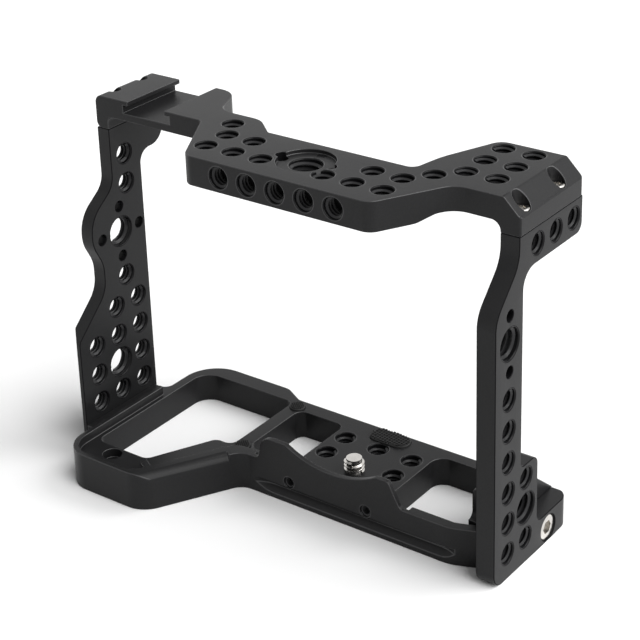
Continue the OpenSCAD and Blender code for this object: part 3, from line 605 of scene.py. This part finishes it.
def machined_copy(node, name):
    """Puts a copy of a CAD plate, with welded faces and broken edges, in the plate's place."""
    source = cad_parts[node]
    piece = bpy.data.objects.new(name, source.data.copy())
    bpy.context.scene.collection.objects.link(piece)
    edit(piece, "VERT")
    bpy.ops.mesh.select_all(action="SELECT")
    bpy.ops.mesh.remove_doubles(threshold=WELD * MM)
    leave()
    edit(piece, "FACE")
    bpy.ops.mesh.select_all(action="SELECT")
    bpy.ops.mesh.tris_convert_to_quads(face_threshold=radians(1), shape_threshold=radians(180))
    leave()
    bpy.ops.mesh.customdata_custom_splitnormals_clear()
    # Painted light on the broken edges: painted shade on the side plates, a painted highlight on the top and the
    # base
    broken = painted_shade_edge_finish() if node in ("left_plate", "right_plate") else painted_highlight_edge_finish()
    dress(piece, name, "cage", "black_aluminium", plate_finish(), broken)
    apply_modifier(piece, "BEVEL", width=bpy.context.scene.cage_sizes.edge_break, segments=2,
                   limit_method="ANGLE", angle_limit=radians(UNBROKEN), use_clamp_overlap=False,
                   loop_slide=False, material=1)
    # The bores' walls and chamfers get the darker thread finish: painted shade in the holes
    piece.data.materials.append(painted_shade_bore_finish())
    for axis, centres, radius in BORES[node]:
        paint_shade_in_bores(piece.data, "xyz".index(axis), centres, (radius + BORE_CHAMFER) * MM)
    smooth(piece, SMOOTH_PLATE)
    apply_modifier(piece, "WEIGHTED_NORMAL", keep_sharp=True, weight=80)
    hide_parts(node)


def thread_ridge(root, crest, pitch, length, steps):
    """A closed helical ridge around Z, from the root radius to the crest radius, in millimetres."""
    bpy.ops.mesh.primitive_plane_add(size=1)
    ridge = fresh()
    inwards = -1 if crest < root else 1
    choose(ridge, lambda v: v.co.x * inwards > 0, "VERT")
    bpy.ops.transform.resize(value=(1, CREST_SHARE, 1))
    leave()
    choose(ridge, lambda f: True)
    bpy.ops.mesh.delete(type="ONLY_FACE")
    leave()
    middle = (root + crest) / 2
    width = pitch * RIDGE_WIDTH
    put(ridge, Matrix.Translation((middle * MM, 0, width * MM / 2)) @ Matrix.Rotation(pi / 2, 4, "X")
        @ Matrix.Diagonal((abs(root - crest) * MM, width * MM, 1, 1)))
    turns = length / pitch - RIDGE_WIDTH
    apply_modifier(ridge, "SCREW", axis="Z", angle=2 * pi * turns, screw_offset=pitch * turns * MM,
                   iterations=1, steps=round(steps * turns), render_steps=round(steps * turns),
                   use_normal_calculate=False)
    edit(ridge, "VERT")
    bpy.ops.mesh.select_non_manifold()
    bpy.ops.mesh.fill_holes(sides=4)
    leave()
    face_outwards(ridge)
    smooth(ridge, SMOOTH_RIDGE)
    return ridge


def bore_thread(radius, pitch, low, high):
    """The thread of a bore whose wall runs from low to high along its own Z, clear of its two mouths."""
    depth = bpy.context.scene.cage_sizes.thread_depth * pitch
    room = high - low - 2 * BORE_CHAMFER
    ridge = thread_ridge(radius + RIDGE_SINK, radius - depth, pitch, room, BORE_STEPS)
    return put(ridge, upright(0, 0, low + BORE_CHAMFER))


def cap_screw(name, head_r, head_h, shank_r, shank_l, socket_r, socket_d, place, node):
    """A cap screw with a broken edge, a six sided socket and a shank, head towards its own Z."""
    bpy.ops.mesh.primitive_cylinder_add(vertices=ROUND_SIDES, radius=head_r * MM, depth=head_h * MM,
                                        location=(0, 0, head_h * MM / 2))
    head = fix_place(fresh())
    choose(head, lambda f: f.normal.z < -ALONG)
    bpy.ops.mesh.inset(thickness=(head_r - shank_r) * MM)
    bpy.ops.mesh.extrude_region_move(TRANSFORM_OT_translate={"value": (0, 0, -shank_l * MM)})
    leave()
    apply_modifier(head, "BEVEL", width=HEAD_BREAK * head_r * MM, segments=3, limit_method="ANGLE",
                   angle_limit=radians(CORNER), use_clamp_overlap=True)
    bpy.ops.mesh.primitive_cylinder_add(vertices=6, radius=socket_r * MM, depth=2 * socket_d * MM,
                                        location=(0, 0, head_h * MM))
    broach = fix_place(fresh())
    apply_modifier(head, "BOOLEAN", operation="DIFFERENCE", solver="EXACT", object=broach)
    bpy.data.objects.remove(broach)
    smooth(head, SMOOTH_SCREW)
    put(head, place)
    dress(head, name, "cage", "bright_steel", steel_finish())
    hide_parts(node)


class CAGE_OT_plates(bpy.types.Operator):
    """Welds the four plates, breaks their edges and gives them the anodised finish"""
    bl_idname = "cage.plates"
    bl_label = "Machined plates"

    def execute(self, context):
        for node in ("top_plate", "left_plate", "right_plate", "base_plate"):
            machined_copy(node, node + "_machined")
        return {"FINISHED"}


class CAGE_OT_threads(bpy.types.Operator):
    """Cuts the threads of every bore as ridges that stand on its wall"""
    bl_idname = "cage.threads"
    bl_label = "Threads"

    def execute(self, context):
        sizes = context.scene.cage_sizes
        small, large, face = sizes.small_pitch / MM, sizes.large_pitch / MM, sizes.face_pitch / MM
        mouth = BORE_MOUTH - BORE_CHAMFER
        groups = {
            "bar_threads": (SMALL_BORE, small, BAR_UNDER, TOP_FACE - mouth,
                            [upright(x, y, 0) for x, y in BAR_HOLES]),
            "block_threads": (SMALL_BORE, small, BLOCK_UNDER, TOP_FACE - mouth,
                              [upright(x, y, 0) for x, y in BLOCK_HOLES]),
            "bar_large_thread": (LARGE_BORE, large, BAR_UNDER, TOP_FACE - TOP_COUNTERBORE,
                                 [upright(*TOP_LARGE_HOLE, 0)]),
            "bar_face_threads": (SMALL_BORE, small, mouth, BAR_FACE_DEPTH,
                                 [lying_y(x, BAR_FRONT, z) for x, z in BAR_FACE_HOLES]),
            "left_threads": (SMALL_BORE, small, LEFT_OUTER, LEFT_INNER - mouth,
                             [lying_x(0, y, z) for y, z in LEFT_HOLES]),
            "left_large_threads": (LARGE_BORE, large, LEFT_OUTER, LEFT_INNER - mouth,
                                   [lying_x(0, y, z) for y, z in LEFT_LARGE_HOLES]),
            "right_threads": (SMALL_BORE, small, RIGHT_INNER, RIGHT_OUTER - mouth,
                              [lying_x(0, y, z) for y, z in RIGHT_HOLES]),
            "right_large_threads": (LARGE_BORE, large, RIGHT_INNER, RIGHT_OUTER - mouth,
                                    [lying_x(0, y, z) for y, z in RIGHT_LARGE_HOLES]),
            "floor_threads": (SMALL_BORE, small, 0, FLOOR_TOP - mouth,
                              [upright(x, y, 0) for x, y in FLOOR_HOLES]),
            "lip_threads": (FACE_BORE, face, 0, LIP_HOLE_DEPTH,
                            [lying_y(x, LIP_FACE, z) for x, z in LIP_HOLES]),
        }
        for name, (radius, pitch, low, high, places) in groups.items():
            ridges = copy_at(bore_thread(radius, pitch, low, high), places)
            dress(ridges, name, "cage", "black_aluminium", painted_highlight_crest_finish())
        return {"FINISHED"}


class CAGE_OT_camera_screw(bpy.types.Operator):
    """Turns the captive camera screw: its slotted knob, its neck and its rolled thread"""
    bl_idname = "cage.camera_screw"
    bl_label = "Camera screw"

    def execute(self, context):
        pitch = context.scene.cage_sizes.small_pitch / MM
        core_r = SMALL_BORE - THREAD_RISE
        bpy.ops.mesh.primitive_cylinder_add(vertices=KNOB_SIDES, radius=KNOB_R * MM,
                                            depth=(KNOB_TOP - KNOB_LOW) * MM,
                                            location=(0, 0, (KNOB_TOP + KNOB_LOW) / 2 * MM))
        knob = fix_place(fresh())
        choose(knob, lambda f: f.normal.z > ALONG)
        bpy.ops.mesh.inset(thickness=(KNOB_R - NECK_R) * MM)
        bpy.ops.mesh.extrude_region_move(TRANSFORM_OT_translate={"value": (0, 0, (TIP_TOP - KNOB_TOP) * MM)})
        leave()
        choose(knob, lambda f: abs(f.normal.z) < ACROSS and f.center.z < KNOB_TOP * MM
               and round(atan2(f.center.y, f.center.x) / (2 * pi / KNOB_SIDES) - 0.5) % 2 == 0)
        bpy.ops.mesh.inset(thickness=GRIP_GAP * MM, depth=-GRIP_DEPTH * MM, use_individual=True)
        leave()
        bpy.ops.mesh.primitive_cube_add(size=1, location=(0, 0, KNOB_LOW * MM))
        slot = fresh()
        slot.scale = (SLOT_REACH * KNOB_R * MM, KNOB_SLOT_W * MM, 2 * KNOB_SLOT_D * MM)
        fix_place(slot)
        apply_modifier(knob, "BOOLEAN", operation="DIFFERENCE", solver="EXACT", object=slot)
        bpy.data.objects.remove(slot)
        apply_modifier(knob, "BEVEL", width=KNOB_BREAK * MM, segments=2, limit_method="ANGLE",
                       angle_limit=radians(KNOB_CORNER), use_clamp_overlap=True)
        smooth(knob, SMOOTH_SCREW)
        ridge = thread_ridge(core_r - CORE_SINK, SMALL_BORE, pitch, TIP_TOP - FLOOR_TOP - THREAD_SHORT, TIP_STEPS)
        put(ridge, upright(0, 0, FLOOR_TOP - THREAD_START))
        screw = join([knob, ridge])
        put(screw, upright(*SCREW_AXIS, 0))
        dress(screw, "camera_screw_turned", "screw", "bright_steel", steel_finish())
        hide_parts("camera_screw")
        return {"FINISHED"}


class CAGE_OT_cap_screws(bpy.types.Operator):
    """Makes the socket screws of the two seams, the foot and the left plate"""
    bl_idname = "cage.cap_screws"
    bl_label = "Cap screws"

    def execute(self, context):
        for side, x, ys, head_r, seat in SEAM_SCREWS:
            for end, y in zip(("front", "rear"), ys):
                node = f"{side}_top_screw_{end}"
                cap_screw(node + "_turned", head_r, SEAM_HEAD_H, SEAM_SHANK_R, SEAM_SHANK_L,
                          SOCKET_SHARE * head_r, SEAM_SOCKET_D, upright(x, y, SEAM + seat), node)
        cap_screw("right_base_screw_turned", FOOT_HEAD_R, FOOT_HEAD_H, FOOT_SHANK_R, FOOT_SHANK_L,
                  SOCKET_SHARE * FOOT_HEAD_R, FOOT_SOCKET_D, lying_x(RIGHT_OUTER - FOOT_SEAT, *FOOT_SCREW),
                  "right_base_screw")
        for end, y in SIDE_SCREWS:
            node = f"left_base_screw_{end}"
            cap_screw(node + "_turned", SIDE_HEAD_R, SIDE_HEAD_H, SIDE_SHANK_R, SIDE_SHANK_L, SIDE_SOCKET_R,
                      SIDE_SOCKET_D, lying_x(LEFT_OUTER + SIDE_SEAT, y, SIDE_Z, flip=True), node)
        return {"FINISHED"}


class CAGE_OT_pads(bpy.types.Operator):
    """Moulds the rubber pads with the bumps on their tops"""
    bl_idname = "cage.pads"
    bl_label = "Rubber pads"

    def studs(self, outline, size, step, turn, height, count):
        """A field of tapered studs, cut to an outline."""
        bpy.ops.mesh.primitive_cube_add(size=1)
        stud = fresh()
        choose(stud, lambda v: v.co.z > 0, "VERT")
        bpy.ops.transform.resize(value=STUD_TAPER)
        leave()
        put(stud, Matrix.Diagonal((size[0] * MM, size[1] * MM, height * 2 * MM, 1)))
        across, along = count
        apply_modifier(stud, "ARRAY", count=across, use_relative_offset=False, use_constant_offset=True,
                       constant_offset_displace=(step[0] * MM, 0, 0))
        apply_modifier(stud, "ARRAY", count=along, use_relative_offset=False, use_constant_offset=True,
                       constant_offset_displace=(step[0] * MM / 2, step[1] * MM, 0))
        centre = Vector((step[0] * (across - 1 + (along - 1) / 2) / 2, step[1] * (along - 1) / 2, 0)) * MM
        put(stud, Matrix.Rotation(radians(turn), 4, "Z") @ Matrix.Translation(-centre))
        put(stud, upright(0, 0, PAD_TOP - height))
        apply_modifier(stud, "BOOLEAN", operation="INTERSECT", solver="EXACT", object=outline)
        bpy.data.objects.remove(outline)
        return stud

    def slab(self, length, width, low, high):
        """A slab with round ends, or a disc where it is as long as wide."""
        radius = width / 2
        bpy.ops.mesh.primitive_cylinder_add(vertices=ROUND_SIDES, radius=radius * MM, depth=(high - low) * MM,
                                            location=(0, 0, (high + low) / 2 * MM))
        slab = fix_place(fresh())
        for side in (-1, 1):
            choose(slab, lambda v: v.co.x * side > 1e-6, "VERT")
            bpy.ops.transform.translate(value=(side * (length / 2 - radius) * MM, 0, 0))
            leave()
        return slab

    def execute(self, context):
        bump = context.scene.cage_sizes.pad_bump / MM
        top = PAD_TOP - bump
        for node, (x, y) in ROUND_PADS.items():
            pad = self.slab(2 * ROUND_PAD_R, 2 * ROUND_PAD_R, PAD_LOW, top)
            apply_modifier(pad, "BEVEL", width=ROUND_EDGE * MM, segments=3, limit_method="ANGLE",
                           angle_limit=radians(CORNER))
            field = self.studs(self.slab(ROUND_FIELD_D, ROUND_FIELD_D, top - FIELD_SINK, PAD_TOP + 1),
                               ROUND_STUD, ROUND_STEP, ROUND_TURN, bump, ROUND_COUNT)
            pad = join([pad, field])
            smooth(pad, SMOOTH_PAD)
            put(pad, upright(x, y, 0))
            dress(pad, node + "_moulded", "cage", "black_rubber", rubber_finish())
            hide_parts(node)
        pad = self.slab(OVAL_LENGTH, OVAL_WIDTH, PAD_LOW, top)
        apply_modifier(pad, "BEVEL", width=OVAL_EDGE * MM, segments=3, limit_method="ANGLE",
                       angle_limit=radians(CORNER))
        field = self.studs(self.slab(OVAL_LENGTH - OVAL_FIELD_INSET, OVAL_WIDTH - OVAL_FIELD_INSET,
                                     top - FIELD_SINK, PAD_TOP + 1),
                           OVAL_STUD, OVAL_STEP, OVAL_TURN, bump, OVAL_COUNT)
        pad = join([pad, field])
        smooth(pad, SMOOTH_PAD)
        put(pad, upright(*OVAL_CENTRE, 0))
        dress(pad, "pad_oval_moulded", "cage", "black_rubber", rubber_finish())
        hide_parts("pad_oval")
        return {"FINISHED"}


class CAGE_OT_hidden_parts(bpy.types.Operator):
    """Gives the dowels and the nylon washer their finishes"""
    bl_idname = "cage.hidden_parts"
    bl_label = "Dowels and washer"

    def execute(self, context):
        for node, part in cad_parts.items():
            if "dowel" in node:
                part.data.materials.clear()
                part.data.materials.append(steel_finish("Ground steel", roughness=0.3,
                                                        stretch=(1.0, 0.05, 0.05)))
            elif node == "screw_washer":
                part.data.materials.clear()
                part.data.materials.append(nylon_finish())
        return {"FINISHED"}


class CAGE_OT_stage(bpy.types.Operator):
    """Sets the floor, the lights, the room and the camera"""
    bl_idname = "cage.stage"
    bl_label = "Stage"

    def execute(self, context):
        stage = context.scene.cage_stage
        context.scene.view_settings.view_transform = "Standard"
        bpy.ops.mesh.primitive_plane_add(size=FLOOR_WIDTH, location=(0, 0, -FLOOR_DROP * MM))
        floor = fix_place(fresh())
        choose(floor, lambda v: True, "VERT")
        bpy.ops.mesh.bevel(offset=FLOOR_CORNER, segments=12, affect="VERTICES")
        leave()
        floor.name = "floor"
        material, nodes, links, shader, place = blank_material("Pale floor")
        drift = use_group(nodes, links, shared_group("Slow drift", drift_group), place,
                          Scale=3.0, Low=0.995, High=1.005)
        links.new(tinted(nodes, links, stage.floor, drift.outputs["Tone"]), shader.inputs["Base Color"])
        shader.inputs["Roughness"].default_value = 0.9
        shader.inputs["Specular IOR Level"].default_value = 0.1
        floor.data.materials.append(material)
        self.lights(stage)
        self.room(stage)
        self.camera()
        return {"FINISHED"}

    def lights(self, stage):
        """A wide high light from the right, a little behind the cage."""
        bpy.ops.object.light_add(type="SUN", rotation=(radians(KEY_TURN), radians(KEY_LEAN), 0))
        key = bpy.context.object
        key.name = "key"
        key.data.energy = stage.key
        key.data.angle = radians(KEY_SPREAD)

    def room(self, stage):
        """A white room to the camera and in reflections, and a soft fill on the object."""
        world = bpy.context.scene.world or bpy.data.worlds.new("Room")
        bpy.context.scene.world = world
        world.use_nodes = True
        nodes, links = world.node_tree.nodes, world.node_tree.links
        nodes.clear()
        path = nodes.new("ShaderNodeLightPath")
        seen = nodes.new("ShaderNodeMath")
        seen.operation = "MAXIMUM"
        links.new(path.outputs["Is Camera Ray"], seen.inputs[0])
        links.new(path.outputs["Is Glossy Ray"], seen.inputs[1])
        clear = nodes.new("ShaderNodeMath")
        clear.operation = "MAXIMUM"
        links.new(seen.outputs[0], clear.inputs[0])
        links.new(path.outputs["Is Transmission Ray"], clear.inputs[1])
        fill = nodes.new("ShaderNodeBackground")
        white = nodes.new("ShaderNodeBackground")
        for light, strength in ((fill, stage.fill), (white, 1.0)):
            light.inputs["Color"].default_value = (1, 1, 1, 1)
            light.inputs["Strength"].default_value = strength
        mix = nodes.new("ShaderNodeMixShader")
        links.new(clear.outputs[0], mix.inputs["Fac"])
        links.new(fill.outputs[0], mix.inputs[1])
        links.new(white.outputs[0], mix.inputs[2])
        out = nodes.new("ShaderNodeOutputWorld")
        links.new(mix.outputs[0], out.inputs["Surface"])

    def camera(self):
        """The photograph's camera, with the shift of its framing."""
        turn, dip, roll = radians(VIEW_TURN), radians(VIEW_DIP), radians(VIEW_ROLL)
        ahead = Vector((-sin(turn) * cos(dip), cos(turn) * cos(dip), -sin(dip)))
        level = ahead.cross(Vector((0, 0, 1))).normalized()
        above = level.cross(ahead)
        right = level * cos(roll) + above * sin(roll)
        up = above * cos(roll) - level * sin(roll)
        matrix = Matrix((right, up, -ahead)).transposed().to_4x4()
        bpy.ops.object.camera_add(location=Vector(VIEW_FROM) * MM, rotation=matrix.to_euler())
        camera = bpy.context.object
        camera.name = "view"
        camera.data.sensor_width = SENSOR
        camera.data.lens = FOCAL_PIXELS / FRAME_PIXELS * SENSOR
        camera.data.shift_x = (FRAME_PIXELS / 2 - AXIS_PIXEL[0]) / FRAME_PIXELS
        camera.data.shift_y = (AXIS_PIXEL[1] - FRAME_PIXELS / 2) / FRAME_PIXELS
        camera.data.clip_start = 0.01
        camera.data.clip_end = 50
        bpy.context.scene.camera = camera


STEPS = (CAGE_OT_plates, CAGE_OT_threads, CAGE_OT_camera_screw, CAGE_OT_cap_screws, CAGE_OT_pads,
         CAGE_OT_hidden_parts, CAGE_OT_stage)


class CAGE_PT_panel(bpy.types.Panel):
    """Lists the cage's sizes, finishes and steps"""
    bl_label = "Camera cage"
    bl_idname = "CAGE_PT_panel"
    bl_space_type = "VIEW_3D"
    bl_region_type = "UI"
    bl_category = "Cage"

    def draw(self, context):
        layout = self.layout
        for label, group in (("Sizes", context.scene.cage_sizes), ("Finishes", context.scene.cage_finish),
                             ("Stage", context.scene.cage_stage)):
            box = layout.box()
            box.label(text=label)
            for name in group.bl_rna.properties.keys():
                if name not in ("rna_type", "name"):
                    box.prop(group, name)
        for step in STEPS:
            layout.operator(step.bl_idname)


CLASSES = (CageSizes, CageFinish, CageStage) + STEPS + (CAGE_PT_panel,)


def register():
    for cls in CLASSES:
        bpy.utils.register_class(cls)
    bpy.types.Scene.cage_sizes = PointerProperty(type=CageSizes)
    bpy.types.Scene.cage_finish = PointerProperty(type=CageFinish)
    bpy.types.Scene.cage_stage = PointerProperty(type=CageStage)


def unregister():
    del bpy.types.Scene.cage_stage
    del bpy.types.Scene.cage_finish
    del bpy.types.Scene.cage_sizes
    for cls in reversed(CLASSES):
        bpy.utils.unregister_class(cls)


def main():
    """Registers the add-on and makes every piece in order."""
    register()
    bpy.ops.cage.plates()
    bpy.ops.cage.threads()
    bpy.ops.cage.camera_screw()
    bpy.ops.cage.cap_screws()
    bpy.ops.cage.pads()
    bpy.ops.cage.hidden_parts()
    bpy.ops.cage.stage()


if __name__ == "__main__":
    main()
